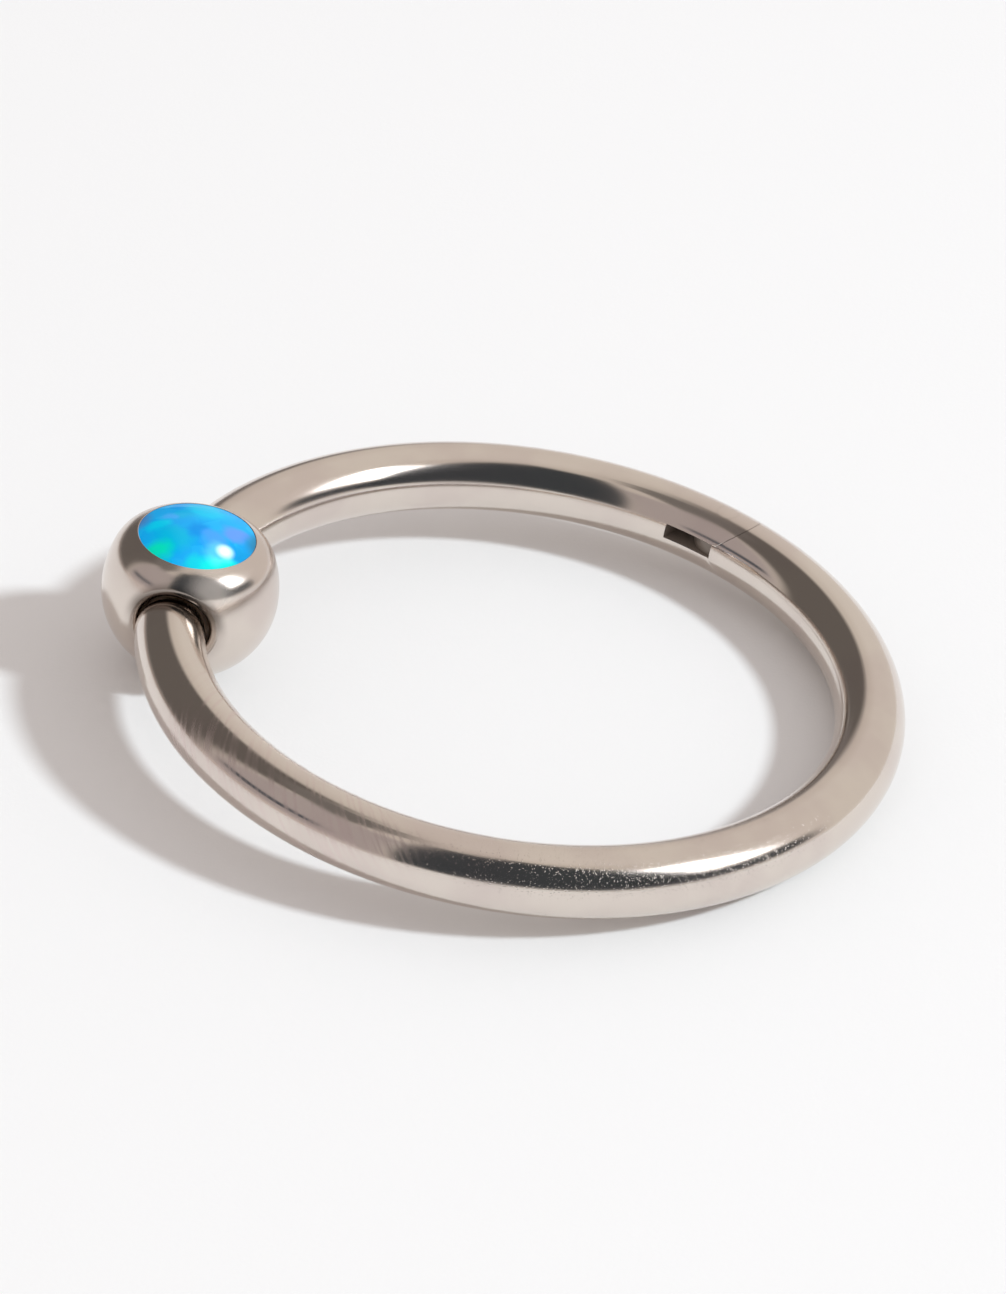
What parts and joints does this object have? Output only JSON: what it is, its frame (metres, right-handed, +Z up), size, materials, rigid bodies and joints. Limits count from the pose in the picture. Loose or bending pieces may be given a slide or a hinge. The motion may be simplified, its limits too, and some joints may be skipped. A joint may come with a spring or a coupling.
{
  "type": "belly button ring",
  "caption": "Hinged round-wire hoop for a navel piercing, closed by a gate that carries an opal-set ball.",
  "frame": {"origin": "on the surface the ring lies on, below the middle of its outline", "axes": "+X from the ball towards the opposite side of the hoop, +Y towards the hinge's side, +Z up"},
  "size_m": [0.0186, 0.0176, 0.0037],
  "materials": {
    "hoop_metal": "polished titanium, warm grey",
    "gate_metal": "polished titanium, warm grey",
    "ball_metal": "polished titanium, warm grey",
    "opal": "polished blue-green opal"
  },
  "bodies": {
    "hoop": {"main_hoop": "hoop_metal"},
    "gate": {"gate_arm": "gate_metal", "hinge_pin": "gate_metal", "bezel_bead": "ball_metal", "opal": "opal"}
  },
  "joints": [
    {"name": "gate_hinge", "type": "hinge", "parent": "hoop", "child": "gate", "pos_m": [0.00382, 0.00728, 0.00116], "axis": [-0.0775, 0, -0.997], "range_deg": [0, 60]}
  ]
}
